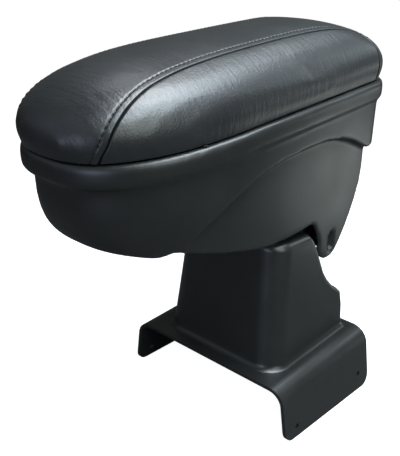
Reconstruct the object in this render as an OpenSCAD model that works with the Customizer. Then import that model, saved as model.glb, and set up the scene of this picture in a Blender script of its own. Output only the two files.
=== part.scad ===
// Car centre armrest: a padded lid on a storage tub, carried on a pedestal that
// straddles the centre console. The tub folds nose up about a cross bolt behind the
// pedestal head, and the lid opens about a pin at the back of the rim.
// Millimetres. X runs from the nose (-) to the back (+), Y across, Z up.
// The origin is the middle of the face that sits on top of the console.

/* [Lid] */
// Length of the lid along its lower edge
lid_len = 294; // [270:1:310]
// Widest half width of the lid, over the nose half
lid_half_w = 56.3; // [50:0.1:62]
// Half width of the lid where its back end begins
lid_half_w_back = 52; // [46:0.1:58]
// Height of the cushion above the rim
crown_h = 47; // [36:1:56]
// How far the cushion bulges past its lower edge
bulge = 3; // [1:0.5:5]
// Height of the widest line of the cushion above the rim
bulge_h = 9.6; // [6:0.1:14]
// Thickness of the sewn cover
cover_t = 1.2; // [0.8:0.1:2]
// Thickness of the lid pan
pan_t = 3; // [2:0.5:5]
// Open gap between the cushion and the rim
lid_gap = 1; // [0.6:0.1:2]
// How far the lid opens, in degrees
lid_open = 80; // [40:5:85]

/* [Tub] */
// Height of the rim above the console
rim_z = 202; // [190:1:215]
// Height of the band round the rim
band_h = 14; // [10:1:20]
// How far the band stands out past the lid's edge
band_out = 2.5; // [1:0.5:4]
// How far the nose of the bowl is set back under the band
nose_inset = 8; // [4:1:12]
// Depth of the bowl below the rim at the nose
bowl_depth = 72; // [60:1:74]
// Wall of the tub
tub_t = 2.8; // [2:0.1:4]
// Thickness of the tub floor over the hinge
floor_t = 3; // [2:0.5:4]
// Height of the storage floor over the hinge
floor_z = 112; // [110:1:125]
// How far the lower body is set in under the arch line
body_inset = 5.5; // [3:0.5:7]
// How far the back of the lower body is set in
body_inset_back = 13; // [9:1:16]

/* [Pivot] */
// Place of the fold pivot behind the middle of the console face
pivot_x = 35; // [33:1:38]
// Height of the fold pivot
pivot_z = 83; // [80:1:86]
// Radius of the pivot bolt
bolt_r = 4; // [3:0.5:5]
// Radius of the steel ears round the pivot
ear_r = 10; // [8:0.5:11]
// Half the distance between the bracket ears
ear_y = 24; // [18:1:26]
// Thickness of the steel plates
steel_t = 2.5; // [2:0.5:3]
// Outer radius of the tub cheeks round the pivot
cheek_r = 15.5; // [14.5:0.5:16]

/* [Pedestal] */
// Length of the saddle along the console
saddle_len = 115; // [100:1:130]
// Half width of the saddle over its bends
saddle_half_w = 75.5; // [70:0.5:80]
// Depth of the side flanges at the front
flange_front = 43; // [30:1:55]
// Depth of the side flanges at the back
flange_back = 49; // [30:1:60]
// Outward splay of the flanges, in degrees
flange_splay = 8; // [0:0.5:15]
// Wall of the base moulding
base_t = 3; // [2.5:0.5:4]
// Half width of the pedestal at its foot
foot_half_w = 56; // [54:1:62]
// Half width of the pedestal at its head
head_half_w = 47.5; // [46:0.5:50]
// Height of the pedestal head at the front
head_z = 99; // [97:0.5:104]
// Radius of the fixing screw holes
screw_hole_r = 2.2; // [1.5:0.1:3]
// Distance between the two fixing holes of a flange
screw_pitch = 86; // [60:1:95]

/* [Hidden] */
$fn = 48;
eps = 0.01;
clear = 0.3;
run_fit = 0.05;

// Plan of the lid: a long tapering nose, sides that narrow a little, a short back end.
tail_x = pivot_x + 66;
nose_x = tail_x - lid_len;
nose_len = lid_len * 0.357;
tail_len = 27;
nose_pow = 2.6;
tail_pow = 1.9;
nose_steps = 15;
side_steps = 5;
tail_steps = 8;

// One half of a plan outline from the nose tip to the tail tip, y positive.
function half_plan(nose, tail, hw, hwb, nl, tl) = concat(
  [for (i = [0 : nose_steps])
    let (a = 90 * i / nose_steps)
    [nose + nl - nl * pow(cos(a), 2 / nose_pow), hw * pow(sin(a), 2 / nose_pow)]],
  [for (i = [1 : side_steps])
    let (f = i / (side_steps + 1))
    [nose + nl + f * (tail - tl - nose - nl), hw + f * (hwb - hw)]],
  [for (i = [0 : tail_steps])
    let (a = 90 * i / tail_steps)
    [tail - tl + tl * pow(sin(a), 2 / tail_pow), hwb * pow(cos(a), 2 / tail_pow)]]
);

// The whole outline: down one side and back along the other.
function full_plan(half) =
  let (last = len(half) - 1)
  concat(
    [for (i = [0 : last]) [half[i][0], -half[i][1]]],
    [for (i = [last - 1 : -1 : 1]) half[i]]
  );

// The lid's edge, set in by one amount at the nose, the sides and the back.
function lid_plan(in_nose, in_side, in_back) = full_plan(half_plan(
  nose_x + in_nose, tail_x - in_back, lid_half_w - in_side, lid_half_w_back - in_side,
  nose_len - in_nose, max(tail_len - in_back, 6)
));
function lid_edge(inset) = lid_plan(inset, inset, inset);

// A ring of an outline at height z0 that rises by slope for each millimetre along X.
function ring_at(plan, z0, slope = 0) = [for (p = plan) [p[0], p[1], z0 + slope * p[0]]];

// A closed solid through a list of rings, lowest first, all with as many points.
module loft(rings) {
  n = len(rings[0]);
  m = len(rings);
  polyhedron(
    points = [for (r = rings) for (p = r) p],
    faces = concat(
      [[for (i = [0 : n - 1]) i]],
      [for (j = [0 : m - 2]) for (i = [0 : n - 1])
        let (k = (i + 1) % n)
        each [
          [j * n + i, (j + 1) * n + i, (j + 1) * n + k],
          [j * n + i, (j + 1) * n + k, j * n + k]
        ]],
      [[for (i = [n - 1 : -1 : 0]) (m - 1) * n + i]]
    )
  );
}

// Points along an arc, for outlines.
function arc_points(c, r, a0, a1, n = 8) = [for (i = [0 : n])
  let (a = a0 + (a1 - a0) * i / n)
  [c[0] + r * cos(a), c[1] + r * sin(a)]];

// Extrudes a side view outline, drawn as [x, z], across the part between two y values.
module side_plate(points, y0, y1) {
  translate([0, y1, 0])
  rotate([90, 0, 0])
  linear_extrude(y1 - y0)
  polygon(points);
}

// A cylinder along Y between two y values.
module rod_y(x, z, r, y0, y1) {
  translate([x, y1, z])
  rotate([90, 0, 0])
  cylinder(r = r, h = y1 - y0);
}

module both_sides() {
  children();
  mirror([0, 1, 0]) children();
}

// Cushion crown: rings shrink onto a short ridge while they rise.
crown_pow = 2.3;
crown_ridge = 0.25;
crown_mid_x = nose_x + lid_len / 2;
crown_steps = 10;
crown_end = 86;
function crown_ring(plan, rise, a) =
  let (s = pow(cos(a), 2 / crown_pow), u = crown_ridge + (1 - crown_ridge) * s)
  [for (p = plan)
    [crown_mid_x + (p[0] - crown_mid_x) * u, p[1] * s,
     rim_z + bulge_h + rise * pow(sin(a), 2 / crown_pow)]];
function cushion_rings(inset, z_low) = concat(
  [ring_at(lid_edge(inset + 0.8), z_low),
   ring_at(lid_edge(inset - bulge * 0.45), rim_z + bulge_h * 0.42),
   ring_at(lid_edge(inset - bulge * 0.85), rim_z + bulge_h * 0.72)],
  [for (i = [0 : crown_steps])
    crown_ring(lid_edge(inset - bulge), crown_h - bulge_h - inset, crown_end * i / crown_steps)]
);
cover_z = rim_z + lid_gap;
pan_z = cover_z + 0.6;
pan_inset = cover_t + 0.8 + clear;
foam_z = pan_z + pan_t;

module cover() {
  color("dimgray")
  difference() {
    loft(cushion_rings(0, cover_z));
    loft(cushion_rings(cover_t, cover_z - 1));
  }
}

// The pad is cut to stay a hair inside the cover.
module foam_core() {
  color("khaki")
  difference() {
    loft(cushion_rings(cover_t + clear, foam_z - 2));
    translate([nose_x - 5, -lid_half_w - 5, rim_z - 10])
    cube([lid_len + 10, 2 * lid_half_w + 10, foam_z - rim_z + 10 + eps]);
  }
}

// Lid hinge: knuckles in a notch at the back of the rim.
lid_pin_r = 1.6;
knuckle_r = 4;
lid_axis_x = tail_x - 1;
lid_axis_z = rim_z - knuckle_r;
notch_half_w = 27;
knuckle_w = 14;
lid_knuckle_half_w = 9;

module lid_pan() {
  color("dimgray")
  difference() {
    union() {
      translate([0, 0, pan_z])
      linear_extrude(pan_t)
      polygon(lid_edge(pan_inset));
      pan_ribs();
      lid_knuckles();
    }
    rod_y(lid_axis_x, lid_axis_z, lid_pin_r + run_fit, -notch_half_w, notch_half_w);
    liner_screw_places() cylinder(r = 1.35, h = 8, center = true);
  }
}

// Stiffening ribs on the underside of the pan, above the liner.
rib_t = 2;
rib_half_w = 30;
rib_depth = pan_z - (rim_z - 2.4);
module pan_ribs() {
  for (i = [0 : 4])
    translate([
      nose_x + 43 + i * (lid_len - 94) / 4 - rib_t / 2, -rib_half_w, pan_z - rib_depth + 2
    ])
    cube([rib_t, 2 * rib_half_w, rib_depth - 2 + eps]);
}

module lid_knuckles() {
  difference() {
    union() {
      rod_y(lid_axis_x, lid_axis_z, knuckle_r, -lid_knuckle_half_w, lid_knuckle_half_w);
      translate([lid_axis_x - 11, -lid_knuckle_half_w, lid_axis_z])
      cube([11, 2 * lid_knuckle_half_w, knuckle_r]);
      translate([lid_axis_x - 11, -lid_knuckle_half_w, lid_axis_z])
      cube([9.3, 2 * lid_knuckle_half_w, pan_z + 1 - lid_axis_z]);
    }
    translate([lid_axis_x - 20, -20, lid_axis_z - 20])
    cube([20 - knuckle_r, 40, 20]);
  }
}

// Inner trim of the lid, screwed up into the pan.
liner_t = 2;
liner_inset = 9;
liner_z = rim_z - liner_t - 0.4;
screw_head_r = 3.2;
liner_screw_y = lid_half_w * 0.39;
module liner_screw_places() {
  for (i = [0 : 3])
    for (y = [-1, 1])
      translate([nose_x + 28 + i * (lid_len - 69) / 3, y * liner_screw_y, pan_z])
      children();
}

module lid_liner() {
  color("black")
  difference() {
    union() {
      translate([0, 0, liner_z])
      linear_extrude(liner_t)
      polygon(lid_plan(liner_inset + 6, liner_inset, liner_inset + 8));
      liner_screw_places()
      translate([0, 0, liner_z - pan_z + eps])
      cylinder(r = 4, h = pan_z - liner_z - 0.1);
    }
    liner_screw_places() cylinder(r = 1.75, h = 30, center = true);
    translate([catch_x - 3, -catch_w / 2 - 1, liner_z - 1])
    cube([catch_t + 9, catch_w + 2, liner_t + 2]);
  }
}

module liner_screws() {
  color("silver")
  liner_screw_places() {
    translate([0, 0, liner_z - pan_z - 1.6])
    cylinder(r = screw_head_r, h = 1.5);
    translate([0, 0, liner_z - pan_z - 0.2])
    cylinder(r = 1.25, h = 6.8);
  }
}

// Snap catch at the nose and the keeper that it drops into.
catch_x = nose_x + 17;
catch_w = 14;
catch_t = 2.5;
catch_drop = 14;
module lid_catch() {
  color("black") {
    translate([catch_x - 2, -catch_w / 2, pan_z - 3])
    cube([catch_t + 8, catch_w, 3 - 0.1]);
    translate([catch_x, -catch_w / 2, pan_z - catch_drop])
    cube([catch_t, catch_w, catch_drop - 2]);
    rod_y(catch_x + 0.6, pan_z - catch_drop + 1.2, 1.8, -catch_w / 2, catch_w / 2);
  }
}

keeper_gap = 2.2;
module catch_keeper() {
  color("silver")
  difference() {
    translate([catch_x - keeper_gap - 2.5, -catch_w / 2 - 3, pan_z - catch_drop - 6])
    cube([catch_t + keeper_gap * 2 + 3, catch_w + 6, 10]);
    translate([catch_x - keeper_gap, -catch_w / 2 - 0.6, pan_z - catch_drop - 4])
    cube([catch_t + keeper_gap * 2 - 1, catch_w + 1.2, 12]);
  }
}

// Side view of the arch line that parts the bowl from the lower body.
// Places between the notch and the pedestal are shares of that stretch, from 1 to 0.
notch_x = nose_x + 58;
notch_z = 137;
belly_x = pivot_x - 77;
function belly(share) = belly_x + (notch_x - belly_x) * share;
arch_top_z = rim_z - 30;
arch_line = [
  [notch_x - 28, 112], [notch_x - 22, 122], [notch_x - 14, 127.5], [notch_x - 6, 132],
  [notch_x + 1, notch_z], [belly(0.81), 149], [belly(0.62), 157], [belly(0.45), 163],
  [belly(0.25), 168], [belly_x, arch_top_z - 0.5], [pivot_x - 50, arch_top_z],
  [pivot_x - 25, arch_top_z - 0.5], [pivot_x - 5, 168], [pivot_x + 13, 162],
  [pivot_x + 25, 156], [pivot_x + 35, 151], [tail_x + 10, 149], [tail_x + 10, 40],
  [notch_x, 40]
];

// Bowl and rim: the outer skin of the upper tub.
bowl_slope = -82.3 / lid_len;
bowl_pow = 3.2;
bowl_steps = 10;
wall_side_in = 0.5;
function bowl_bottom(x) = rim_z - bowl_depth + bowl_slope * (x - nose_x - 25);
function bowl_side_z(a) = pow(sin(a), 2 / bowl_pow);
bowl_mid_x = nose_x + lid_len * 0.323;
bowl_top_z = rim_z - band_h - 2;
function bowl_ring(a, t) =
  let (s = pow(cos(a), 2 / bowl_pow))
  [for (p = lid_plan(nose_inset + t, wall_side_in + t, 2 + t))
    [bowl_mid_x + (p[0] - bowl_mid_x) * (0.35 + 0.65 * s), p[1] * (0.12 + 0.88 * s),
     bowl_top_z - (bowl_top_z - bowl_bottom(p[0]) - t) * bowl_side_z(a)]];
function band_plan(inset) = lid_plan(inset + 0.5, inset - band_out, inset - band_out);
function band_rings() = [
  ring_at(lid_plan(4, 0.2, 1), rim_z - band_h - 1),
  ring_at(band_plan(1.2), rim_z - band_h + 0.3),
  ring_at(band_plan(0), rim_z - band_h + 2.5),
  ring_at(band_plan(0), rim_z - 3.2),
  ring_at(band_plan(0.9), rim_z - 1),
  ring_at(band_plan(2.8), rim_z)
];

module bowl_skin() {
  loft(concat(
    [for (i = [bowl_steps : -1 : 0]) bowl_ring(88 * i / bowl_steps, 0)],
    band_rings()
  ));
}

// Lower body: a plain upright wall under the arch line, cut to its side view.
lobe_back = [for (p = [
  [11.5, 72.5], [16, 78], [22, 86], [28, 96], [34, 108], [39, 121], [43, 134], [46, 148],
  [47, 160]
]) [pivot_x + p[0], p[1]]];
cheek_from = 165;
cheek_to = 315;
lower_edge = [
  [notch_x + 1, notch_z + 4], [notch_x + 1, notch_z - 0.5], [belly(0.81), 130.5],
  [belly(0.58), 122.5], [belly(0.355), 115.8], [belly(0.19), 111.5], [belly(0.03), 108.3],
  [pivot_x - 65, 106.5], [pivot_x - 50, 105.8], [pivot_x - 27, 105.8], [pivot_x - 22.5, 103]
];
function body_side() = concat(
  lower_edge,
  arc_points([pivot_x, pivot_z], cheek_r, cheek_from, cheek_to, 14),
  lobe_back,
  [[pivot_x + 47, 186], [notch_x + 40, 186]]
);
cheek_y = lid_half_w_back - body_inset - 1.5;

module lower_body() {
  intersection() {
    translate([0, 0, 40])
    linear_extrude(150)
    polygon(lid_plan(nose_inset + 6, body_inset + 1.5, body_inset_back));
    side_plate(body_side(), -lid_half_w - 5, lid_half_w + 5);
  }
}

// Storage space: the bowl and the lower body each set in by the wall.
inner_steps = 5;
function inner_side() = concat(
  [[notch_x + 4, 141.5], [belly(0.81), 134], [belly(0.58), 126], [belly(0.355), 119.2],
   [belly(0.19), 114.8], [belly(0.1), floor_z]],
  [[pivot_x + 32, floor_z], [pivot_x + 36, 122], [pivot_x + 39.5, 134], [pivot_x + 42.5, 148],
   [pivot_x + 43.5, 160], [pivot_x + 43.5, rim_z - 18]],
  [[notch_x + 4, rim_z - 18]]
);
module storage_space() {
  difference() {
    loft(concat(
      [for (i = [inner_steps : -1 : 0]) bowl_ring(84 * i / inner_steps, tub_t)],
      [ring_at(lid_plan(nose_inset + tub_t, tub_t + 1, tub_t + 3), rim_z - 6),
       ring_at(lid_plan(nose_inset - 2, tub_t + 1, tub_t + 3), rim_z - 5),
       ring_at(lid_plan(nose_inset - 2, tub_t + 1, tub_t + 3), rim_z + 1)]
    ));
    translate([-1.5, 0, tub_t + 0.4])
    side_plate(arch_line, -80, 80);
  }
  intersection() {
    translate([0, 0, floor_z])
    linear_extrude(rim_z - 18 - floor_z)
    polygon(lid_plan(
      nose_inset + 6 + tub_t, body_inset + 1.5 + tub_t, body_inset_back + tub_t
    ));
    side_plate(inner_side(), -80, 80);
  }
}

// Room under the floor for the hinge, open in front and below.
module hinge_room() {
  side_plate(
    [for (p = [
      [-81, 96], [-81, floor_z - floor_t], [29, floor_z - floor_t], [25, 99], [18.5, 88],
      [14, 81.5], [11, 77], [11, 55], [-35, 55], [-35, 96]
    ]) [pivot_x + p[0], p[1]]],
    -cheek_y + tub_t, cheek_y - tub_t
  );
}

// Recessed slot in each cheek over the end of the pivot bolt, backed by a thick pad.
slot_w = 8;
slot_h = 17;
slot_x = pivot_x + 2.5;
slot_z = pivot_z - 2;
pad_t = 2;
module cheek_slot() {
  both_sides()
  hull()
  for (z = [-1, 1])
    rod_y(slot_x, slot_z + z * (slot_h - slot_w) / 2, slot_w / 2, cheek_y - tub_t - 0.7, 80);
}
module cheek_pads() {
  both_sides()
  rod_y(slot_x, slot_z, cheek_r - 4, cheek_y - tub_t - pad_t, cheek_y - tub_t + eps);
}

frame_screw_x = [pivot_x - 17, pivot_x + 19];
frame_screw_y = 17;
module frame_screw_places() {
  for (x = frame_screw_x)
    for (y = [-frame_screw_y, frame_screw_y])
      translate([x, y, 0])
      children();
}

boss_h = 8;
module tub() {
  color("#26282b")
  difference() {
    union() {
      difference() {
        union() {
          difference() {
            bowl_skin();
            side_plate(arch_line, -80, 80);
          }
          lower_body();
        }
        storage_space();
        hinge_room();
      }
      cheek_pads();
      frame_screw_places()
      translate([0, 0, floor_z - 0.5])
      cylinder(r = 5, h = boss_h);
      keeper_pad();
      tub_knuckles();
    }
    cheek_slot();
    frame_screw_places() cylinder(r = 2.05, h = floor_z + boss_h - 2);
    translate([lid_axis_x - 7, -lid_knuckle_half_w - clear, lid_axis_z - knuckle_r - 1])
    cube([20, 2 * (lid_knuckle_half_w + clear), 20]);
    translate([lid_axis_x - knuckle_r - 0.5, -notch_half_w, rim_z - knuckle_r])
    cube([20, 2 * notch_half_w, 20]);
    rod_y(lid_axis_x, lid_axis_z, lid_pin_r + run_fit, -notch_half_w - 1, notch_half_w + 1);
  }
}

// Flat pad on the nose wall that the catch keeper is fixed to.
module keeper_pad() {
  translate([nose_x + nose_inset + 1, -catch_w / 2 - 3, pan_z - catch_drop - 7])
  cube([catch_x - keeper_gap - 2.5 - clear - nose_x - nose_inset - 1, catch_w + 6, 11]);
}

module tub_knuckles() {
  both_sides()
  difference() {
    union() {
      rod_y(lid_axis_x, lid_axis_z, knuckle_r, lid_knuckle_half_w + clear,
        lid_knuckle_half_w + clear + knuckle_w);
      translate([lid_axis_x - knuckle_r, lid_knuckle_half_w + clear, rim_z - band_h + 2])
      cube([knuckle_r * 2 - 1.2, knuckle_w, band_h - 2 - knuckle_r]);
    }
    translate([lid_axis_x - 10, lid_knuckle_half_w, rim_z - band_h - 9])
    cube([20, knuckle_w + 2, 9]);
  }
}

module lid_hinge_pin() {
  color("silver")
  rod_y(lid_axis_x, lid_axis_z, lid_pin_r, -notch_half_w + 3, notch_half_w - 3);
}

// Soft mat on the storage floor.
mat_t = 2;
module tub_mat() {
  color("darkslategray")
  difference() {
    translate([0, 0, floor_z + 0.3])
    linear_extrude(mat_t)
    intersection() {
      polygon(lid_plan(nose_inset, body_inset + tub_t + 9, body_inset_back + tub_t + 9));
      translate([pivot_x - 79, -lid_half_w]) square([108, 2 * lid_half_w]);
    }
    frame_screw_places() cylinder(r = 5.5, h = 300);
  }
}

// Small rubber pads that the closed lid rests on.
module lid_bumpers() {
  color("black")
  for (x = [nose_x + 73, tail_x - 61])
    for (y = [-1, 1])
      translate([x, y * (lid_half_w - (x > 0 ? 5.8 : 2.2)), rim_z + 0.05])
      cylinder(r = 1.6, h = lid_gap - 0.35);
}

// Steel frame under the tub floor that turns on the pivot bolt.
frame_ear_y = ear_y + steel_t + 1.5;
frame_z = floor_z - floor_t - 0.1 - steel_t;
module pivot_frame() {
  color("silver")
  difference() {
    union() {
      translate([pivot_x - 47, -frame_ear_y - steel_t, frame_z])
      cube([74, 2 * (frame_ear_y + steel_t), steel_t]);
      both_sides()
      side_plate(concat(
        [[pivot_x + 25, frame_z + 1], [pivot_x - 27, frame_z + 1], [pivot_x - 27, frame_z - 3]],
        arc_points([pivot_x, pivot_z], ear_r, 170, 350, 14),
        [[pivot_x + 25, frame_z - 3]]
      ), frame_ear_y, frame_ear_y + steel_t);
    }
    rod_y(pivot_x, pivot_z, bush_r + run_fit, -60, 60);
    frame_screw_places() cylinder(r = 2.3, h = 200);
  }
}

module frame_screws() {
  color("silver")
  frame_screw_places() {
    translate([0, 0, frame_z - 2.1])
    cylinder(r = 3.8, h = 2);
    translate([0, 0, frame_z - 1])
    cylinder(r = 1.95, h = steel_t + floor_t + 6.6);
  }
}

// Flanged nylon bushes in the frame ears.
bush_r = bolt_r + 1.5;
bush_flange = 1.1;
module pivot_bushes() {
  color("white")
  both_sides()
  difference() {
    union() {
      rod_y(pivot_x, pivot_z, bush_r, frame_ear_y - bush_flange - 0.1, frame_ear_y + steel_t);
      rod_y(pivot_x, pivot_z, bush_r + 3, frame_ear_y - bush_flange - 0.1, frame_ear_y - 0.1);
    }
    rod_y(pivot_x, pivot_z, bolt_r + run_fit, 0, 60);
  }
}

washer_y = frame_ear_y + steel_t + 0.1;
washer_t = 1.4;
spring_y = washer_y + washer_t + 0.1;
spring_h = 2;
head_y = spring_y + spring_h + 0.1;
bolt_head_h = 4.6;
module friction_washers() {
  color("dimgray")
  both_sides()
  difference() {
    rod_y(pivot_x, pivot_z, 8, washer_y, washer_y + washer_t);
    rod_y(pivot_x, pivot_z, bolt_r + run_fit, 0, 60);
  }
}

module disc_springs() {
  color("silver")
  both_sides()
  translate([pivot_x, spring_y, pivot_z])
  rotate([-90, 0, 0])
  rotate_extrude()
  polygon([
    [bolt_r + run_fit, 0.9], [8, 0], [8, 0.9], [bolt_r + run_fit, spring_h]
  ]);
}

module pivot_bolt() {
  color("silver") {
    rod_y(pivot_x, pivot_z, bolt_r, -head_y - 0.5, head_y + 5.7);
    translate([pivot_x, -head_y, pivot_z])
    rotate([90, 0, 0])
    cylinder(r = 7.5, h = bolt_head_h, $fn = 6);
  }
}

module pivot_nut() {
  color("silver")
  difference() {
    translate([pivot_x, head_y + 5.5, pivot_z])
    rotate([90, 0, 0])
    cylinder(r = 7.5, h = 5.4, $fn = 6);
    rod_y(pivot_x, pivot_z, bolt_r + run_fit, 0, 60);
  }
}

// Steel bracket inside the pedestal that carries the pivot bolt.
web_x = -26;
web_low = 8;
web_high = 91;
module hinge_bracket() {
  color("silver")
  difference() {
    union() {
      translate([web_x, -ear_y - steel_t, web_low])
      cube([steel_t, 2 * (ear_y + steel_t), web_high - web_low]);
      both_sides()
      side_plate(concat(
        [[web_x + 0.5, web_low], [4, web_low], [8, 40], [9, pivot_z - ear_r]],
        arc_points([pivot_x, pivot_z], ear_r, -90, 90, 14),
        [[-8, pivot_z + ear_r], [-14, web_high], [web_x + 0.5, web_high]]
      ), ear_y, ear_y + steel_t);
    }
    rod_y(pivot_x, pivot_z, bolt_r + run_fit, -60, 60);
    bracket_screw_places() rotate([0, 90, 0]) cylinder(r = 2.3, h = 40, center = true);
  }
}

bracket_screw_z = [24, 72];
module bracket_screw_places() {
  for (z = bracket_screw_z)
    for (y = [-13, 13])
      translate([web_x, y, z])
      children();
}

module bracket_screws() {
  color("silver")
  bracket_screw_places() {
    translate([steel_t + 0.1, 0, 0])
    rotate([0, 90, 0])
    cylinder(r = 4, h = 2.4);
    translate([-7, 0, 0])
    rotate([0, 90, 0])
    cylinder(r = 1.95, h = 7 + steel_t + 0.3);
  }
}

// Pedestal: rounded rectangles stacked from the foot to the head.
foot_front = -46;
head_front = -34;
foot_back = 52;
corner_front = 17;
corner_back = 5;
back_gap = 1.2;
back_lean = 21.8;
head_slope = -0.13;
function head_back_x(z) =
  pivot_x - (cheek_r + back_gap) / cos(back_lean) - (z - pivot_z) * tan(back_lean);
back_curve = [
  [0, foot_back - 1.5], [22, foot_back], [33, foot_back - 1.5], [38, foot_back - 6.5],
  [43, foot_back - 13], [52, foot_back - 21], [60, head_back_x(60)]
];
function back_x(z) = z > 60 ? head_back_x(z) : lookup(z, back_curve);
function front_x(z) = foot_front + (head_front - foot_front) * z / head_z;
function half_w(z) =
  foot_half_w + (head_half_w - foot_half_w) * pow(max(z, 0) / head_z, 0.8);
corner_steps = 6;
function corner(cx, cy, r, a0) = [for (i = [0 : corner_steps])
  let (a = a0 + 90 * i / corner_steps)
  [cx + r * cos(a), cy + r * sin(a)]];
function pedestal_plan(x0, x1, w, rf, rb) = concat(
  corner(x0 + rf, -w + rf, rf, 180),
  corner(x1 - rb, -w + rb, rb, 270),
  corner(x1 - rb, w - rb, rb, 0),
  corner(x0 + rf, w - rf, rf, 90)
);
function pedestal_ring(z, d, grow = 0) = ring_at(
  pedestal_plan(front_x(z) + d - grow, back_x(z) - d + grow, half_w(z) - d + grow,
    max(corner_front - d + grow, 2), max(corner_back - d + grow, 1)),
  z
);
function head_ring(z, d) = ring_at(
  pedestal_plan(front_x(z) + d, back_x(z) - d * 0.6, half_w(z) - d, max(corner_front - d, 2),
    max(corner_back - d * 0.6, 1)),
  z, head_slope
);
function head_top_z(x) = head_z + head_slope * (34 + x) + 3.6;
pedestal_levels = [12, 22, 33, 38, 43, 52, 60, 72, 84];
// Rounding of the head: height and inset of each ring.
head_round = [[-3, 0], [-0.3, 0.6], [1.7, 1.9], [3, 3.8], [3.6, 6.2]];

module pedestal_skin() {
  loft(concat(
    [pedestal_ring(1, 0, 3), pedestal_ring(3.2, 0, 3), pedestal_ring(4, 0, 1.6),
     pedestal_ring(5.4, 0, 0.6), pedestal_ring(7.5, 0, 0.1)],
    [for (z = pedestal_levels) pedestal_ring(z, 0)],
    [for (r = head_round) head_ring(head_z + head_slope * 34 + r[0], r[1])]
  ));
}

module pedestal_inside() {
  loft(concat(
    [pedestal_ring(-2, base_t)],
    [for (z = [12, 22, 33, 38, 43, 52, 60, 72, 84, 92]) pedestal_ring(z, base_t)]
  ));
}

// Saddle: one folded section along the console, cut to its side view.
bend_r = 14;
saddle_depth = 60;
flange_c = [saddle_half_w - bend_r, base_t - bend_r];
function flange_point(r, d) =
  let (a = flange_splay)
  flange_c + r * [cos(a), sin(a)] + d * [sin(a), -cos(a)];
function saddle_half_section() = concat(
  arc_points(flange_c, bend_r, 90, flange_splay, 7),
  [flange_point(bend_r, saddle_depth), flange_point(bend_r - base_t, saddle_depth)],
  arc_points(flange_c, bend_r - base_t, flange_splay, 90, 7)
);
function saddle_section() =
  let (h = saddle_half_section(), n = len(h))
  concat(h, [for (i = [n - 1 : -1 : 0]) [-h[i][0], h[i][1]]]);
flange_corner_r = 9;
function saddle_side() =
  let (
    x = saddle_len / 2,
    r = flange_corner_r,
    zf = base_t - flange_front,
    zb = base_t - flange_back
  )
  concat(
    [[-x, base_t + 1]],
    arc_points([-x + r, zf + r], r, 180, 270, 6),
    arc_points([x - r, zb + r], r, 270, 360, 6),
    [[x, base_t + 1]]
  );

module saddle() {
  intersection() {
    translate([-saddle_len / 2, 0, 0])
    rotate([90, 0, 90])
    linear_extrude(saddle_len)
    polygon(saddle_section());
    side_plate(saddle_side(), -110, 110);
  }
}

// Fixing holes, drilled level through each flange.
hole_z = -32;
module flange_holes() {
  both_sides()
  for (x = [-screw_pitch / 2, screw_pitch / 2])
    rod_y(x, hole_z, screw_hole_r, saddle_half_w - bend_r, saddle_half_w + 30);
}

module base_bosses() {
  bracket_screw_places()
  translate([-16, 0, 0])
  rotate([0, 90, 0])
  cylinder(r = 5, h = 16 - 0.1);
}

// Ribs that cross the foot of the hollow pedestal, level with the console face.
rib_w = 4;
rib_h = 7;
module foot_ribs() {
  linear_extrude(rib_h)
  intersection() {
    polygon(pedestal_plan(
      foot_front + 1, foot_back - 3, foot_half_w - 1.5, corner_front - 1, corner_back
    ));
    union() {
      square([200, rib_w], center = true);
      square([rib_w, 200], center = true);
    }
  }
}

module console_base() {
  color("#202226")
  difference() {
    union() {
      difference() {
        union() {
          saddle();
          pedestal_skin();
        }
        pedestal_inside();
      }
      intersection() {
        base_bosses();
        pedestal_skin();
      }
      foot_ribs();
    }
    back_window();
    bumper_places() cylinder(r = bumper_stem_r + 0.05, h = 30, center = true);
    bracket_screw_places()
    translate([-9, 0, 0])
    rotate([0, 90, 0])
    cylinder(r = 2.05, h = 30);
    flange_holes();
  }
}

// Opening in the back of the head for the bracket ears.
module back_window() {
  translate([-12, -ear_y - steel_t - 2, pivot_z - ear_r - 3])
  cube([60, 2 * (ear_y + steel_t + 2), 60]);
}

// Rubber pads on the head that the tub comes down on, each pushed in by its stem.
bumper_x = -20;
bumper_y = 34;
bumper_stem_r = 2.6;
bumper_z = head_top_z(bumper_x - 5) + 0.1;
module bumper_places() {
  both_sides()
  translate([bumper_x, bumper_y, bumper_z])
  children();
}
module rest_bumpers() {
  color("black")
  bumper_places() {
    cylinder(r = 5, h = floor_z - floor_t - bumper_z - clear);
    translate([0, 0, -5])
    cylinder(r = bumper_stem_r, h = 5.5);
  }
}

console_base();
hinge_bracket();
bracket_screws();
pivot_bolt();
pivot_nut();
friction_washers();
disc_springs();
rest_bumpers();
tub();
pivot_frame();
frame_screws();
pivot_bushes();
tub_mat();
lid_bumpers();
lid_hinge_pin();
catch_keeper();
lid_pan();
foam_core();
cover();
lid_liner();
liner_screws();
lid_catch();
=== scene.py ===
import bpy
import bmesh
import math
import numpy as np
from mathutils import Matrix, Vector
from mathutils.bvhtree import BVHTree
from mathutils.kdtree import KDTree


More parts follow.
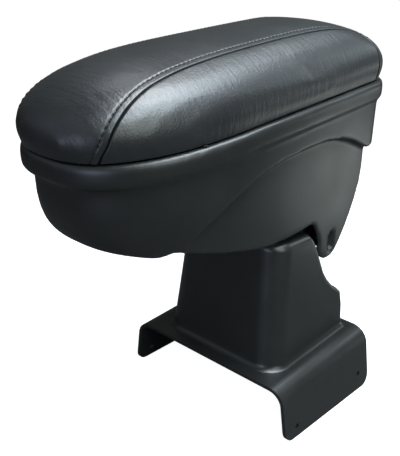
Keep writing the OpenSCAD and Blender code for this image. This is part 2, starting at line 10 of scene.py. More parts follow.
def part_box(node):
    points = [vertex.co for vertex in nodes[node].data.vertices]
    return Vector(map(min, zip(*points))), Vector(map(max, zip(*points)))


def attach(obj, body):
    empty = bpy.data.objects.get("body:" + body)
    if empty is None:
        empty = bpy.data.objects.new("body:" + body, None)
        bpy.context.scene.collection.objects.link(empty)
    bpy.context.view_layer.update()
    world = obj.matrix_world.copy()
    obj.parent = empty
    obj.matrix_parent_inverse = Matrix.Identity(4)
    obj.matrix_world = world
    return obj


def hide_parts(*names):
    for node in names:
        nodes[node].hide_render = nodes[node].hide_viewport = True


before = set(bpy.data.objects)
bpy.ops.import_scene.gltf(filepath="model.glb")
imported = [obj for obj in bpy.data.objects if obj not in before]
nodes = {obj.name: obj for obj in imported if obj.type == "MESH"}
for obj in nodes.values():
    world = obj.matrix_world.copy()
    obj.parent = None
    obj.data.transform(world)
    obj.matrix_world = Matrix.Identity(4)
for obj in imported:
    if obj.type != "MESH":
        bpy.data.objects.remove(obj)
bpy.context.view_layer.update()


# Camera
# The armrest is seen from its nose end, from the left and a little above.
# A plain lens that takes in the whole part, with no shift and no roll.
camera_place = Vector((-0.4141, -0.3159, 0.3401))
camera_back = Vector((-0.669, -0.604, 0.432)).normalized()
camera_right = Vector((0, 0, 1)).cross(camera_back).normalized()
camera_up = camera_back.cross(camera_right)
camera_turn = Matrix((camera_right, camera_up, camera_back)).transposed()
camera_data = bpy.data.cameras.new("camera")
camera_data.sensor_fit = "HORIZONTAL"
camera_data.sensor_width = 36.0
camera_data.lens = 66.67
camera = bpy.data.objects.new("camera", camera_data)
bpy.context.collection.objects.link(camera)
camera.matrix_world = Matrix.Translation(camera_place) @ camera_turn.to_4x4()
bpy.context.scene.camera = camera
bpy.context.scene.view_settings.view_transform = "Standard"


# Floor and room
# A pale floor under the feet of the flanges, tipped by the few degrees that the shallower
# front flanges lean, in a plain pale room that shows white behind the part.
floor_half = 6.0
floor_clearance = 0.0003
back_foot_x = 0.0485
flange_step = 0.006
flange_run = 0.1


def finish_of(name, shader="ShaderNodeBsdfPrincipled"):
    made = bpy.data.materials.new(name)
    made.use_nodes = True
    tree = made.node_tree
    tree.nodes.clear()
    out = tree.nodes.new("ShaderNodeOutputMaterial")
    skin = tree.nodes.new(shader)
    tree.links.new(skin.outputs[0], out.inputs["Surface"])
    return made, tree, skin


def plain_shader(tree, kind, shade, strength=None):
    made = tree.nodes.new(kind)
    made.inputs["Color"].default_value = shade
    if strength is not None:
        made.inputs["Strength"].default_value = strength
    return made


def lit_or_seen(tree, mix, lit, seen):
    # the part is lit by the one shader, and the camera sees the other
    eye = tree.nodes.new("ShaderNodeLightPath")
    tree.links.new(eye.outputs["Is Camera Ray"], mix.inputs["Fac"])
    tree.links.new(lit.outputs[0], mix.inputs[1])
    tree.links.new(seen.outputs[0], mix.inputs[2])


floor_paint, floor_tree, floor_mix = finish_of("floor_paint", "ShaderNodeMixShader")
floor_grey = plain_shader(floor_tree, "ShaderNodeBsdfDiffuse", (0.50, 0.50, 0.50, 1))
floor_white = plain_shader(floor_tree, "ShaderNodeEmission", (1, 1, 1, 1), 0.96)
floor_sum = floor_tree.nodes.new("ShaderNodeAddShader")
floor_tree.links.new(floor_grey.outputs[0], floor_sum.inputs[0])
floor_tree.links.new(floor_white.outputs[0], floor_sum.inputs[1])
floor_bounce = plain_shader(floor_tree, "ShaderNodeBsdfDiffuse", (0.11, 0.11, 0.11, 1))
lit_or_seen(floor_tree, floor_mix, floor_bounce, floor_sum)

floor_grid = bmesh.new()
bmesh.ops.create_grid(floor_grid, x_segments=2, y_segments=2, size=floor_half)
floor_mesh = bpy.data.meshes.new("floor")
floor_grid.to_mesh(floor_mesh)
floor_grid.free()
floor = bpy.data.objects.new("floor", floor_mesh)
bpy.context.collection.objects.link(floor)
lowest_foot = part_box("console_base")[0].z
floor.rotation_euler = (0, math.atan2(flange_step, flange_run), 0)
floor.location = (back_foot_x, 0, lowest_foot - floor_clearance)
floor.data.materials.append(floor_paint)

room = bpy.data.worlds.new("room")
bpy.context.scene.world = room
room.use_nodes = True
room_tree = room.node_tree
room_tree.nodes.clear()
room_out = room_tree.nodes.new("ShaderNodeOutputWorld")
room_mix = room_tree.nodes.new("ShaderNodeMixShader")
room_soft = plain_shader(room_tree, "ShaderNodeBackground", (0.92, 1.0, 0.85, 1), 0.096)
room_white = plain_shader(room_tree, "ShaderNodeBackground", (1, 1, 1, 1), 1.0)
lit_or_seen(room_tree, room_mix, room_soft, room_white)
room_tree.links.new(room_mix.outputs[0], room_out.inputs["Surface"])


# Lamps
# A soft studio. Wide lamps over the crown and beside the near wall draw the long highlights
# on the cushion, and weak ones in front, behind and low down lift the black mouldings.
part_middle = (-0.03, 0, 0.14)


def soft_lamp(name, at, aim, wide, high, power, tint):
    data = bpy.data.lights.new(name, "AREA")
    data.shape = "ELLIPSE"
    data.size = wide
    data.size_y = high
    data.energy = power
    data.color = tint
    lamp = bpy.data.objects.new(name, data)
    bpy.context.collection.objects.link(lamp)
    way = (Vector(at) - Vector(aim)).normalized()
    level = Vector((1, 0, 0)) if abs(way.x) < 0.9 else Vector((0, 1, 0))
    level = (level - way * level.dot(way)).normalized()
    facing = Matrix((level, way.cross(level), way)).transposed()
    lamp.matrix_world = Matrix.Translation(Vector(at)) @ facing.to_4x4()
    lamp.visible_camera = False


soft_lamp("top_lamp", at=(-0.005, -0.235, 0.60), aim=(-0.03, -0.03, 0.20),
          wide=0.62, high=0.24, power=4.6, tint=(0.78, 0.90, 1.0))
soft_lamp("crown_lamp", at=(0.016, -0.08, 0.651), aim=(-0.147, -0.04, 0.234),
          wide=0.26, high=0.26, power=2.7, tint=(0.90, 0.96, 1.0))
soft_lamp("rear_lamp", at=(0.334, -0.075, 0.653), aim=(-0.097, -0.045, 0.236),
          wide=0.22, high=0.22, power=1.1, tint=(0.82, 0.93, 1.0))
soft_lamp("side_lamp", at=(-0.177, -0.689, 0.615), aim=part_middle,
          wide=0.62, high=0.90, power=5.6, tint=(0.88, 0.98, 0.94))
soft_lamp("nose_lamp", at=(-1.20, -0.21, 0.18), aim=(-0.05, 0, 0.12),
          wide=0.60, high=0.60, power=3.2, tint=(0.68, 0.76, 1.0))
soft_lamp("left_lamp", at=(-0.77, 0.27, 0.48), aim=(-0.19, -0.017, 0.22),
          wide=0.90, high=0.90, power=0.8, tint=(0.72, 0.79, 1.0))
soft_lamp("low_lamp", at=(0.95, -0.42, 0.02), aim=(0.02, -0.03, 0.08),
          wide=0.50, high=0.12, power=0.4, tint=(0.93, 0.98, 1.0))
soft_lamp("floor_lamp", at=(0.36, -0.20, -0.035), aim=(0.06, -0.05, 0.14),
          wide=0.30, high=0.10, power=0.16, tint=(0.92, 1.0, 0.97))
soft_lamp("back_lamp", at=(0.721, -0.273, 0.431), aim=part_middle,
          wide=0.30, high=0.30, power=0.6, tint=(0.84, 0.96, 1.0))
soft_lamp("far_lamp", at=(0.183, 0.368, 0.876), aim=part_middle,
          wide=0.30, high=0.30, power=0.7, tint=(0.90, 0.94, 1.0))


# Console base
# Saddle, flanges and pedestal are one injection moulding in black polypropylene, with a fine
# spark-eroded grain. Its surface is satin, and hands and knees rub the edges smoother.
def float_socket(group, name, way, value=None):
    made = group.interface.new_socket(name=name, in_out=way, socket_type="NodeSocketFloat")
    if value is not None:
        made.default_value = value


def texture(tree, kind, scale=None, squeeze=None, **settings):
    # a pattern that stays in place on its piece
    made = tree.nodes.new(kind)
    entry = made.inputs["Vector"]
    if squeeze:
        stretch = tree.nodes.new("ShaderNodeMapping")
        stretch.inputs["Scale"].default_value = squeeze
        tree.links.new(stretch.outputs[0], entry)
        entry = stretch.inputs["Vector"]
    where = tree.nodes.new("ShaderNodeTexCoord")
    tree.links.new(where.outputs["Object"], entry)
    if scale is not None:
        made.inputs["Scale"].default_value = scale
    for name, value in settings.items():
        made.inputs[name].default_value = value
    return made


def feed(tree, source, entry):
    if isinstance(source, bpy.types.NodeSocket):
        tree.links.new(source, entry)
    else:
        entry.default_value = source


def reckon(tree, operation, first, second):
    made = tree.nodes.new("ShaderNodeMath")
    made.operation = operation
    feed(tree, first, made.inputs[0])
    feed(tree, second, made.inputs[1])
    return made.outputs[0]


def mix_colour(tree, mask, low, high):
    made = tree.nodes.new("ShaderNodeMix")
    made.data_type = "RGBA"
    tree.links.new(mask, made.inputs[0])
    feed(tree, low, made.inputs[6])
    feed(tree, high, made.inputs[7])
    return made.outputs[2]


def range_of(tree, value, low, high, start=0.0, end=1.0):
    made = tree.nodes.new("ShaderNodeMapRange")
    made.inputs["To Min"].default_value = low
    made.inputs["To Max"].default_value = high
    feed(tree, start, made.inputs["From Min"])
    feed(tree, end, made.inputs["From Max"])
    tree.links.new(value, made.inputs["Value"])
    return made.outputs["Result"]


def bump_of(tree, height, strength, distance, under=None):
    made = tree.nodes.new("ShaderNodeBump")
    made.inputs["Strength"].default_value = strength
    made.inputs["Distance"].default_value = distance
    tree.links.new(height, made.inputs["Height"])
    if under is not None:
        tree.links.new(under, made.inputs["Normal"])
    return made.outputs["Normal"]


fine_grain = bpy.data.node_groups.new("fine_grain", "ShaderNodeTree")
float_socket(fine_grain, "Size", "INPUT", 2200.0)
float_socket(fine_grain, "Cloudiness", "INPUT", 40.0)
float_socket(fine_grain, "Height", "OUTPUT")
float_socket(fine_grain, "Patches", "OUTPUT")
grain_in = fine_grain.nodes.new("NodeGroupInput")
grain_out = fine_grain.nodes.new("NodeGroupOutput")
grain_pits = texture(fine_grain, "ShaderNodeTexVoronoi")
grain_pits.feature = "SMOOTH_F1"
grain_specks = texture(fine_grain, "ShaderNodeTexNoise", Detail=2.0)
grain_clouds = texture(fine_grain, "ShaderNodeTexNoise", Detail=4.0)
fine_grain.links.new(grain_in.outputs["Size"], grain_pits.inputs["Scale"])
fine_grain.links.new(grain_in.outputs["Size"], grain_specks.inputs["Scale"])
fine_grain.links.new(grain_in.outputs["Cloudiness"], grain_clouds.inputs["Scale"])
grain_height = reckon(fine_grain, "ADD", grain_pits.outputs["Distance"], grain_specks.outputs["Fac"])
fine_grain.links.new(grain_height, grain_out.inputs["Height"])
fine_grain.links.new(grain_clouds.outputs["Fac"], grain_out.inputs["Patches"])

rubbed_edge = bpy.data.node_groups.new("rubbed_edge", "ShaderNodeTree")
float_socket(rubbed_edge, "Reach", "INPUT", 0.08)
float_socket(rubbed_edge, "Break up", "INPUT", 90.0)
float_socket(rubbed_edge, "Mask", "OUTPUT")
rub_in = rubbed_edge.nodes.new("NodeGroupInput")
rub_out = rubbed_edge.nodes.new("NodeGroupOutput")
rub_shape = rubbed_edge.nodes.new("ShaderNodeNewGeometry")
rub_noise = texture(rubbed_edge, "ShaderNodeTexNoise", Detail=3.0)
rubbed_edge.links.new(rub_in.outputs["Break up"], rub_noise.inputs["Scale"])
flat_pointiness = 0.5
sharp_pointiness = reckon(rubbed_edge, "ADD", flat_pointiness, rub_in.outputs["Reach"])
rub_range = range_of(rubbed_edge, rub_shape.outputs["Pointiness"], 0.0, 1.0,
                     flat_pointiness, sharp_pointiness)
rub_mask = reckon(rubbed_edge, "MULTIPLY", rub_range, rub_noise.outputs["Fac"])
rubbed_edge.links.new(rub_mask, rub_out.inputs["Mask"])


def moulded(name, dark, light, rub, grain, depth, rough_low, rough_high, bow=0.0, specular=0.5):
    patch_scale, rub_reach, grain_strength = 26.0, 0.10, 0.35
    made, tree, skin = finish_of(name)
    cells = tree.nodes.new("ShaderNodeGroup")
    cells.node_tree = fine_grain
    cells.inputs["Size"].default_value = grain
    cells.inputs["Cloudiness"].default_value = patch_scale
    edge = tree.nodes.new("ShaderNodeGroup")
    edge.node_tree = rubbed_edge
    edge.inputs["Reach"].default_value = rub_reach
    patches = cells.outputs["Patches"]
    worn = mix_colour(tree, edge.outputs["Mask"], mix_colour(tree, patches, dark, light), rub)
    tree.links.new(worn, skin.inputs["Base Color"])
    tree.links.new(range_of(tree, patches, rough_low, rough_high, 0.3, 0.7), skin.inputs["Roughness"])
    under = bowed_walls(tree, bow) if bow else None
    relief = bump_of(tree, cells.outputs["Height"], grain_strength, depth, under)
    tree.links.new(relief, skin.inputs["Normal"])
    skin.inputs["Specular IOR Level"].default_value = specular
    return made


def bowed_walls(tree, bow):
    # the long walls bow outwards by a hair, as such mouldings do when they cool
    wall_middle = 0.020
    at = tree.nodes.new("ShaderNodeTexCoord")
    split = tree.nodes.new("ShaderNodeSeparateXYZ")
    tree.links.new(at.outputs["Object"], split.inputs[0])
    from_middle = reckon(tree, "ADD", split.outputs["X"], wall_middle)
    squared = reckon(tree, "POWER", from_middle, 2.0)
    return bump_of(tree, reckon(tree, "MULTIPLY", squared, -bow), 1.0, 1.0)


def coat(name, material):
    obj = nodes[name]
    obj.data.materials.clear()
    obj.data.materials.append(material)
    weld = obj.modifiers.new("weld", "WELD")
    weld.merge_threshold = 0.00002
    return obj


def dress(name, material, edge=0.0003, angle=35):
    # the edges of every real piece are broken a little
    obj = coat(name, material)
    for face in obj.data.polygons:
        face.use_smooth = True
    if edge:
        bevel = obj.modifiers.new("bevel", "BEVEL")
        bevel.width = edge
        bevel.segments = 2
        bevel.limit_method = "ANGLE"
        bevel.angle_limit = math.radians(angle)
        bevel.harden_normals = False
    shade = obj.modifiers.new("shade", "WEIGHTED_NORMAL")
    shade.keep_sharp = True


polished_moulding = moulded(
    "polished_moulding", dark=(0.0085, 0.0090, 0.0094, 1), light=(0.0120, 0.0125, 0.0130, 1),
    rub=(0.030, 0.031, 0.032, 1), grain=1500.0, depth=0.00004, rough_low=0.28, rough_high=0.36)
dress("console_base", polished_moulding, edge=0.0009, angle=30)


# Tub
# A deep bowl in the same black polypropylene from a duller tool. The mould rounds every edge
# of it, from the rolled band round the rim to the arch that sweeps up to the back.
def soften(name, material, cell, rounds):
    obj = coat(name, material)
    even = obj.modifiers.new("even", "REMESH")
    even.mode = "VOXEL"
    even.voxel_size = cell
    even.use_smooth_shade = True
    relax = obj.modifiers.new("relax", "SMOOTH")
    relax.factor = 0.5
    relax.iterations = rounds


black_moulding = moulded(
    "black_moulding", dark=(0.0085, 0.0090, 0.0092, 1), light=(0.0120, 0.0125, 0.0125, 1),
    rub=(0.030, 0.031, 0.032, 1), grain=1500.0, depth=0.00006, rough_low=0.33, rough_high=0.42,
    bow=0.80)
soften("tub", black_moulding, cell=0.0015, rounds=9)


# Cushion cover
# Leatherette drawn over a foam pad and stapled round the lid pan. A centre panel and two
# side panels are joined by a lapped seam, stitched down on the centre panel's side.
crown = {"nose": -0.193, "tail": 0.101, "rim": 0.202, "half": 0.0563, "half_back": 0.052}
nose_length, nose_power = 0.105, 2.6
tail_length, tail_power = 0.027, 1.9
crown_rise, crown_power = 0.047, 2.3
bulge, bulge_height = 0.003, 0.0096
cushion_low = 0.2029
cushion_swell = 0.0015
turned_in = 0.007


def plan_outline(inset):
    nose_steps, side_steps, tail_steps = 40, 26, 26
    nose, tail = crown["nose"] + inset, crown["tail"] - inset
    wide, wide_back = crown["half"] - inset, crown["half_back"] - inset
    nose_run, tail_run = nose_length - inset, max(tail_length - inset, 0.006)
    half = []
    for i in range(nose_steps + 1):
        a = math.radians(90) * i / nose_steps
        ahead = max(math.cos(a), 0.0) ** (2 / nose_power)
        half.append((nose + nose_run * (1 - ahead), wide * math.sin(a) ** (2 / nose_power)))
    for i in range(1, side_steps + 1):
        f = i / (side_steps + 1)
        half.append((nose + nose_run + f * (tail - tail_run - nose - nose_run),
                     wide + f * (wide_back - wide)))
    for i in range(tail_steps + 1):
        a = math.radians(90) * i / tail_steps
        across = max(math.cos(a), 0.0) ** (2 / tail_power)
        half.append((tail - tail_run + tail_run * math.sin(a) ** (2 / tail_power),
                     wide_back * across))
    half[-1] = (tail, 0.0)
    near = [(x, -y) for x, y in half]
    far = [(x, y) for x, y in half[-2:0:-1]]
    return near + far


def cushion_rings(inset, low):
    rim, middle = crown["rim"], (crown["nose"] + crown["tail"]) / 2
    dome_steps, dome_top, dome_flat = 32, 88.5, 0.25
    rings = []
    for shift, height in ((0.0004, low - rim), (-0.0001, 0.0009),
                          (-bulge * 0.50, bulge_height * 0.42), (-bulge * 0.85, bulge_height * 0.72)):
        rings.append([(x, y, rim + height) for x, y in plan_outline(inset + shift)])
    widest = plan_outline(inset - bulge)
    for i in range(dome_steps + 1):
        a = math.radians(dome_top) * i / dome_steps
        across = math.cos(a) ** (2 / crown_power)
        along = dome_flat + (1 - dome_flat) * across
        z = rim + bulge_height + (crown_rise - bulge_height - inset) * math.sin(a) ** (2 / crown_power)
        rings.append([(middle + (x - middle) * along, y * across, z) for x, y in widest])
    return rings


def loft(rings, name):
    count = len(rings[0])
    top = (len(rings) - 1) * count
    points = [p for ring in rings for p in ring]
    faces = [tuple(range(count - 1, -1, -1)), tuple(range(top, top + count))]
    for j in range(len(rings) - 1):
        for i in range(count):
            k = (i + 1) % count
            faces.append((j * count + i, j * count + k, (j + 1) * count + k, (j + 1) * count + i))
    mesh = bpy.data.meshes.new(name)
    mesh.from_pydata(points, [], faces)
    mesh.validate()
    mesh.update()
    return mesh


def place(mesh, name):
    obj = bpy.data.objects.new(name, mesh)
    bpy.context.collection.objects.link(obj)
    return obj


def apply_all(obj):
    bpy.context.view_layer.update()
    graph = bpy.context.evaluated_depsgraph_get()
    made = bpy.data.meshes.new_from_object(obj.evaluated_get(graph))
    obj.modifiers.clear()
    old = obj.data
    obj.data = made
    bpy.data.meshes.remove(old)


def coordinates(mesh):
    co = np.empty(len(mesh.vertices) * 3)
    mesh.vertices.foreach_get("co", co)
    return co.reshape(-1, 3)


cushion = place(loft(cushion_rings(cushion_swell, cushion_low - turned_in), "cushion"), "cushion")
remesh = cushion.modifiers.new("remesh", "REMESH")
remesh.mode = "VOXEL"
remesh.voxel_size = 0.0055
apply_all(cushion)

# The foam presses the cover outwards from inside, which a short cloth simulation with
# pressure works out. The stapled edge is held, and no point moves more than swell_limit.
swell_limit = 0.0028
swell_steps = 20
rest_shape = coordinates(cushion.data)
held = cushion.vertex_groups.new(name="held")
low_points = [v.index for v in cushion.data.vertices if v.co.z < cushion_low + 0.001]
held.add(low_points, 1.0, "REPLACE")
cloth = cushion.modifiers.new("cloth", "CLOTH")
cloth.settings.quality = 6
cloth.settings.mass = 0.35
cloth.settings.tension_stiffness = 18
cloth.settings.compression_stiffness = 18
cloth.settings.shear_stiffness = 8
cloth.settings.bending_stiffness = 0.8
cloth.settings.use_pressure = True
cloth.settings.uniform_pressure_force = 4.0
cloth.settings.vertex_group_mass = "held"
cloth.settings.effector_weights.gravity = 0.0
for step in range(1, swell_steps + 1):
    bpy.context.scene.frame_set(step)
apply_all(cushion)
bpy.context.scene.frame_set(1)
swell = coordinates(cushion.data) - rest_shape
size = np.linalg.norm(swell, axis=1, keepdims=True)
swell = swell * np.minimum(1.0, swell_limit / np.maximum(size, 1e-9))
cushion.data.vertices.foreach_set("co", (rest_shape + swell).ravel())
cushion.data.update()
rounder = cushion.modifiers.new("rounder", "SUBSURF")
rounder.levels = rounder.render_levels = 2
settle = cushion.modifiers.new("settle", "SMOOTH")
settle.factor = 0.5
settle.iterations = 12
apply_all(cushion)


# Seams of the cover
# Each seam runs from the lid pan up over the nose, along the crown and down again behind.
# The course is laid on the near half of the cushion, and the far half mirrors it.
seam_course = [(-0.1833, -0.0382, 0.2035), (-0.1812, -0.0392, 0.2085), (-0.1787, -0.0398, 0.2133),
               (-0.1740, -0.0404, 0.2220), (-0.1640, -0.0392, 0.2308), (-0.1520, -0.0372, 0.2361),
               (-0.1360, -0.0354, 0.2402), (-0.1020, -0.0334, 0.2438), (-0.0530, -0.0312, 0.2448),
               (0.0010, -0.0305, 0.2446), (0.0290, -0.0320, 0.2439), (0.0530, -0.0348, 0.2408),
               (0.0655, -0.0400, 0.2366), (0.0700, -0.0480, 0.2302), (0.0720, -0.0530, 0.2220),
               (0.0725, -0.0552, 0.2120), (0.0725, -0.0552, 0.2040)]
seam_step = 0.0008
seam_reach, fine_reach, finest_reach, finest_outside = 0.013, 0.0085, 0.0055, 0.0018
stitch_row = 0.0045
stitch_pitch = 0.0038
groove_width, groove_depth = 0.00050, 0.0010
row_width, row_depth = 0.0006, 0.0005
dimple_width, dimple_depth = 0.0010, 0.00010
lap_start, lap_end, lap_height = 0.0005, 0.0043, 0.00020
# how wide and how strong the painted shade is in the groove and along the stitch row
painted_shade_width, row_painted_shade = 0.00062, 0.40


def smooth_path(points, step):
    pts = np.array(points)
    pad = np.vstack([2 * pts[0] - pts[1], pts, 2 * pts[-1] - pts[-2]])
    out = []
    for i in range(1, len(pad) - 2):
        a, b, c, d = pad[i - 1:i + 3]
        n = max(2, int(np.linalg.norm(c - b) / step))
        for k in range(n):
            t = k / n
            out.append(0.5 * (2 * b + (c - a) * t + (2 * a - 5 * b + 4 * c - d) * t * t
                              + (3 * b - a - 3 * c + d) * t ** 3))
    out.append(pts[-1])
    return np.array(out)


plain_skin = BVHTree.FromObject(cushion, bpy.context.evaluated_depsgraph_get())
seam_hits = [plain_skin.find_nearest(Vector(spot)) for spot in smooth_path(seam_course, seam_step)]
seam_points = np.array([hit[0] for hit in seam_hits])
seam_normals = np.array([hit[1] for hit in seam_hits])
seam_along = np.gradient(seam_points, axis=0)
seam_along /= np.linalg.norm(seam_along, axis=1, keepdims=True) + 1e-12
seam_inward = np.cross(seam_normals, seam_along)
seam_inward *= np.sign(seam_inward[:, 1:2].mean())
seam_run = np.concatenate([[0], np.cumsum(np.linalg.norm(np.diff(seam_points, axis=0), axis=1))])
seam_tree = KDTree(len(seam_points))
for i, point in enumerate(seam_points):
    seam_tree.insert(point, i)
seam_tree.balance()


def near_seam(verts, reach):
    # gives each vertex near a seam, its distance from it (positive on the centre panel)
    # and how far along the seam it lies
    found = []
    for k, vert in enumerate(verts):
        spot = Vector((vert.co.x, -abs(vert.co.y), vert.co.z))
        i, gap = seam_tree.find(spot)[1:]
        if gap < reach:
            away = np.array(spot) - seam_points[i]
            side = math.sqrt(max(gap * gap - float(away @ seam_along[i]) ** 2, 0.0))
            found.append((k, math.copysign(side, float(away @ seam_inward[i])), seam_run[i]))
    return found


def split_between(sheet, close):
    edges = [e for e in sheet.edges if e.verts[0].index in close and e.verts[1].index in close]
    bmesh.ops.subdivide_edges(sheet, edges=edges, cuts=1, use_grid_fill=True)
    sheet.verts.ensure_lookup_table()


def hump(gap, width):
    return math.exp(-(gap / width) ** 2)


def slope(gap, width):
    return 1 / (1 + math.exp(-gap / width))


cut = bmesh.new()
cut.from_mesh(cushion.data)
split_between(cut, {k for k, side, run in near_seam(cut.verts, fine_reach)})
split_between(cut, {k for k, side, run in near_seam(cut.verts, finest_reach)
                    if -finest_outside < side < finest_reach})
halves = cut.verts[:] + cut.edges[:] + cut.faces[:]
bmesh.ops.bisect_plane(cut, geom=halves, dist=1e-6, plane_co=(0, 0, cushion_low),
                       plane_no=(0, 0, 1), clear_inner=True)
cut.normal_update()

# The cover turns in under the edge of the pan, towards the pan's middle line.
middle_nose, middle_tail = -0.130, 0.060
rim_edges = [e for e in cut.edges if e.is_boundary]
turned = bmesh.ops.extrude_edge_only(cut, edges=rim_edges)["geom"]
for vert in [g for g in turned if isinstance(g, bmesh.types.BMVert)]:
    inward = Vector((vert.co.x - max(min(vert.co.x, middle_tail), middle_nose), vert.co.y, 0))
    vert.co -= inward.normalized() * turned_in
cut.normal_update()

# The seam sinks in a narrow groove, the lapped edge of the centre panel stands up beside it,
# and the stitches pull a shallow row of dimples. A per-vertex value paints shade into both lines:
# painted shadow in the groove and along the row of dimples.
painted_crease_shade = cut.verts.layers.float.new("painted_crease_shade")
cut.verts.ensure_lookup_table()
moves = []
for k, side, run in near_seam(cut.verts, seam_reach):
    from_row = side - stitch_row
    # painted shadow: full in the groove, weaker along the row of dimples
    cut.verts[k][painted_crease_shade] = hump(side, painted_shade_width) + row_painted_shade * hump(from_row, row_width)
    lift = -groove_depth * hump(side, groove_width) - row_depth * hump(from_row, row_width)
    lift += lap_height * slope(side - lap_start, 0.0003) * slope(lap_end - side, 0.0005)
    dimple = math.cos(2 * math.pi * run / stitch_pitch)
    lift += dimple_depth * hump(from_row, dimple_width) * dimple
    moves.append((k, lift))
normals = [vert.normal.copy() for vert in cut.verts]
for k, lift in moves:
    cut.verts[k].co += normals[k] * lift
for face in cut.faces:
    face.smooth = True
cut.to_mesh(cushion.data)
cut.free()


# Leatherette
# Soft black polyvinyl sheet on a knitted back, embossed with pebbles and fine folds. It is
# drawn tight over the pad, so the folds run across the pull. Shade is painted into it along
# the seam grooves and the stitch rows.
leatherette, leather_tree, leather = finish_of("leatherette")
pebbles = texture(leather_tree, "ShaderNodeTexVoronoi", 900.0, Randomness=1.0)
pebbles.feature = "SMOOTH_F1"
folds = texture(leather_tree, "ShaderNodeTexNoise", 260.0, Detail=5.0, Distortion=0.6)
clouds = texture(leather_tree, "ShaderNodeTexNoise", 22.0, Detail=3.0)
pulls = texture(leather_tree, "ShaderNodeTexNoise", 300.0, squeeze=(1.0, 0.25, 0.25), Detail=4.0)
# painted shade: the per-vertex value from the seams darkens the colour in the groove and along the
# stitch row, and lowers the shine there
crease_shade_mask = leather_tree.nodes.new("ShaderNodeAttribute")
crease_shade_mask.attribute_name = "painted_crease_shade"
sheet_tone = mix_colour(leather_tree, clouds.outputs["Fac"], (0.0090, 0.0096, 0.0107, 1),
                        (0.0132, 0.0140, 0.0153, 1))
painted_crease_tone = mix_colour(leather_tree, crease_shade_mask.outputs["Fac"], sheet_tone, (0.0015, 0.0016, 0.0018, 1))
sheen = range_of(leather_tree, crease_shade_mask.outputs["Fac"], 0.55, 0.05)
dullness = range_of(leather_tree, clouds.outputs["Fac"], 0.35, 0.42, 0.3, 0.7)
pebble_bump = bump_of(leather_tree, pebbles.outputs["Distance"], 0.32, 0.00026)
fold_bump = bump_of(leather_tree, folds.outputs["Fac"], 0.18, 0.00036, pebble_bump)
pull_bump = bump_of(leather_tree, pulls.outputs["Fac"], 0.34, 0.0008, fold_bump)
leather_tree.links.new(painted_crease_tone, leather.inputs["Base Color"])
leather_tree.links.new(sheen, leather.inputs["Specular IOR Level"])
leather_tree.links.new(dullness, leather.inputs["Roughness"])
leather_tree.links.new(pull_bump, leather.inputs["Normal"])
cushion.data.materials.clear()
cushion.data.materials.append(leatherette)
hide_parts("cover", "foam_core")
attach(cushion, "lid")


# Stitching of the cover
# A row of short lockstitches in black bonded thread, 4.5 mm in from each seam. Each stitch
# dips into its needle holes at both ends.
# The lifts are in radii of the thread.
thread_r = 0.00030
thread_sides = 6
thread_lift, hole_lift, shoulder_share, end_share = 0.95, -1.2, 0.6, 0.55
stitch_length = stitch_pitch * 0.80
stitch_steps = 6
first_stitch = seam_run[8]
last_stitch = seam_run[-1] - 0.030


def stitch_middles(start):
    # points on the cover under one stitch, lifted by the thread and sunk at both ends
    middles = []
    for step in range(stitch_steps + 1):
        at = start + step / stitch_steps * stitch_length
        spot = Vector([np.interp(at, seam_run, row_points[:, axis]) for axis in range(3)])
        on_cover, up = stitched_skin.find_nearest(spot)[:2]
        lift = thread_lift if 0 < step < stitch_steps else hole_lift
        if not 1 < step < stitch_steps - 1:
            lift *= shoulder_share
        middles.append((on_cover + up * thread_r * lift, up))
    return middles


def sew(mesh, middles):
    rings = []
    for i, (middle, up) in enumerate(middles):
        before, after = middles[max(i - 1, 0)][0], middles[min(i + 1, stitch_steps)][0]
        side = (after - before).normalized().cross(up).normalized()
        up = side.cross((after - before).normalized())
        r = thread_r * (end_share if i in (0, stitch_steps) else 1.0)
        turns = [2 * math.pi * k / thread_sides for k in range(thread_sides)]
        rings.append([mesh.verts.new(middle + (side * math.cos(t) + up * math.sin(t)) * r)
                      for t in turns])
    for low, high in zip(rings, rings[1:]):
        for k in range(thread_sides):
            n = (k + 1) % thread_sides
            mesh.faces.new((low[k], low[n], high[n], high[k])).smooth = True
    mesh.faces.new(rings[0][::-1])
    mesh.faces.new(rings[-1])


def mirrored(vector):
    return Vector((vector.x, -vector.y, vector.z))


stitched_skin = BVHTree.FromObject(cushion, bpy.context.evaluated_depsgraph_get())
row_points = seam_points + seam_inward * stitch_row
stitches = bmesh.new()
stitch_at = first_stitch
while stitch_at < last_stitch:
    near_middles = stitch_middles(stitch_at)
    sew(stitches, near_middles)
    sew(stitches, [(mirrored(middle), mirrored(up)) for middle, up in near_middles])
    stitch_at += stitch_pitch
stitch_mesh = bpy.data.meshes.new("cover_stitching")
bmesh.ops.recalc_face_normals(stitches, faces=stitches.faces)
stitches.to_mesh(stitch_mesh)
stitches.free()
stitching = place(stitch_mesh, "cover_stitching")


def speckle(tree, skin, pattern, dark, light, strength, depth):
    tree.links.new(mix_colour(tree, pattern, dark, light), skin.inputs["Base Color"])
    tree.links.new(bump_of(tree, pattern, strength, depth), skin.inputs["Normal"])


thread, thread_tree, thread_skin = finish_of("bonded_thread")
twist = texture(thread_tree, "ShaderNodeTexWave", 1400.0, Distortion=1.5)
speckle(thread_tree, thread_skin, twist.outputs["Fac"], (0.004, 0.0043, 0.005, 1),
        (0.014, 0.0145, 0.016, 1), 0.5, 0.0001)
thread_skin.inputs["Roughness"].default_value = 0.62
stitching.data.materials.append(thread)
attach(stitching, "lid")


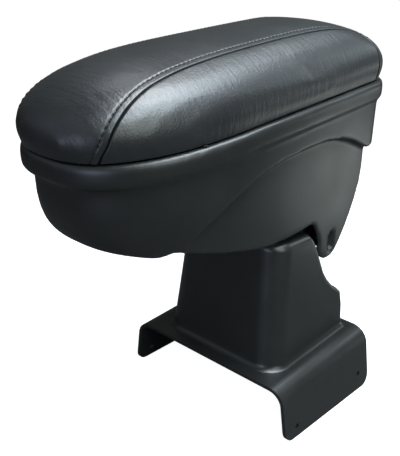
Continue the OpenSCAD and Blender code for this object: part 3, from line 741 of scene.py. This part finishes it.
# Lid pan, liner and catch
# The pan that the cover is stapled to, its trim and the nose catch are plain black
# injection mouldings, hidden until the lid is opened.
pan_plastic = moulded(
    "pan_plastic", dark=(0.012, 0.0125, 0.013, 1), light=(0.017, 0.0175, 0.018, 1),
    rub=(0.04, 0.04, 0.042, 1), grain=900.0, depth=0.00006, rough_low=0.42, rough_high=0.52)
liner_plastic = moulded(
    "liner_plastic", dark=(0.012, 0.012, 0.013, 1), light=(0.018, 0.018, 0.019, 1),
    rub=(0.04, 0.04, 0.042, 1), grain=1300.0, depth=0.0001, rough_low=0.45, rough_high=0.56)
dress("lid_pan", pan_plastic, edge=0.0004)
dress("lid_liner", liner_plastic, edge=0.0004)
dress("lid_catch", liner_plastic, edge=0.0003)


# Foam core
# A moulded pad of open-cell polyurethane foam, glued to the pan inside the cover.
# It is soft, and its edges stay as the mould left them.
foam, foam_tree, foam_skin = finish_of("foam")
pores = texture(foam_tree, "ShaderNodeTexVoronoi", 1100.0)
speckle(foam_tree, foam_skin, pores.outputs["Distance"], (0.40, 0.34, 0.20, 1),
        (0.66, 0.60, 0.44, 1), 0.8, 0.0004)
foam_skin.inputs["Roughness"].default_value = 0.9
dress("foam_core", foam, edge=0)


# Steel fittings
# Pressed steel plates and screws are zinc plated, with the faint cloudy tone of the plating
# bath: black round the cross bolt, where they can be seen, and bright inside.
def plated(name, dark, light, rough_low, rough_high):
    made, tree, skin = finish_of(name)
    cloud = texture(tree, "ShaderNodeTexNoise", 70.0, Detail=5.0).outputs["Fac"]
    speckle(tree, skin, cloud, dark, light, 0.1, 0.0002)
    tree.links.new(range_of(tree, cloud, rough_low, rough_high), skin.inputs["Roughness"])
    skin.inputs["Metallic"].default_value = 1.0
    return made


bright_zinc = plated("bright_zinc", dark=(0.42, 0.43, 0.43, 1), light=(0.62, 0.62, 0.60, 1),
                     rough_low=0.28, rough_high=0.46)
black_zinc = plated("black_zinc", dark=(0.012, 0.012, 0.013, 1), light=(0.030, 0.030, 0.032, 1),
                    rough_low=0.42, rough_high=0.58)
for fitting in ("bracket_screws", "pivot_frame", "frame_screws", "lid_hinge_pin", "catch_keeper",
                "liner_screws"):
    dress(fitting, bright_zinc, edge=0.0002)
for fitting in ("hinge_bracket", "pivot_bolt", "pivot_nut", "disc_springs"):
    dress(fitting, black_zinc, edge=0.0002)


# Washers, bushes and rubber pads
# Pressed fibre washers give the fold its friction. The bushes are natural nylon, and the
# pads under the tub and the lid are soft black rubber.
fibre = moulded("friction_fibre", dark=(0.06, 0.05, 0.04, 1), light=(0.10, 0.085, 0.065, 1),
                rub=(0.16, 0.14, 0.11, 1), grain=700.0, depth=0.0002, rough_low=0.7, rough_high=0.85)
nylon = moulded("nylon", dark=(0.66, 0.64, 0.58, 1), light=(0.74, 0.72, 0.67, 1),
                rub=(0.80, 0.79, 0.75, 1), grain=500.0, depth=0.00003, rough_low=0.35, rough_high=0.42)
rubber = moulded("black_rubber", dark=(0.006, 0.006, 0.006, 1), light=(0.011, 0.011, 0.011, 1),
                 rub=(0.022, 0.022, 0.022, 1), grain=800.0, depth=0.0001, rough_low=0.72,
                 rough_high=0.85, specular=0.15)
dress("friction_washers", fibre, edge=0.0002)
dress("pivot_bushes", nylon, edge=0.0002)
dress("rest_bumpers", rubber, edge=0.0004)
dress("lid_bumpers", rubber, edge=0.0002)


# Tub mat
# A loose mat of needled black felt, cut to the shape of the storage floor.
# Its surface is fuzzy and its cut edges are soft.
felt, felt_tree, felt_skin = finish_of("felt")
fibres = texture(felt_tree, "ShaderNodeTexNoise", 900.0, Detail=6.0, Distortion=2.0)
speckle(felt_tree, felt_skin, fibres.outputs["Fac"], (0.022, 0.022, 0.025, 1),
        (0.075, 0.075, 0.080, 1), 0.9, 0.0005)
felt_skin.inputs["Roughness"].default_value = 0.95
felt_skin.inputs["Sheen Weight"].default_value = 0.4
dress("tub_mat", felt, edge=0.0006)
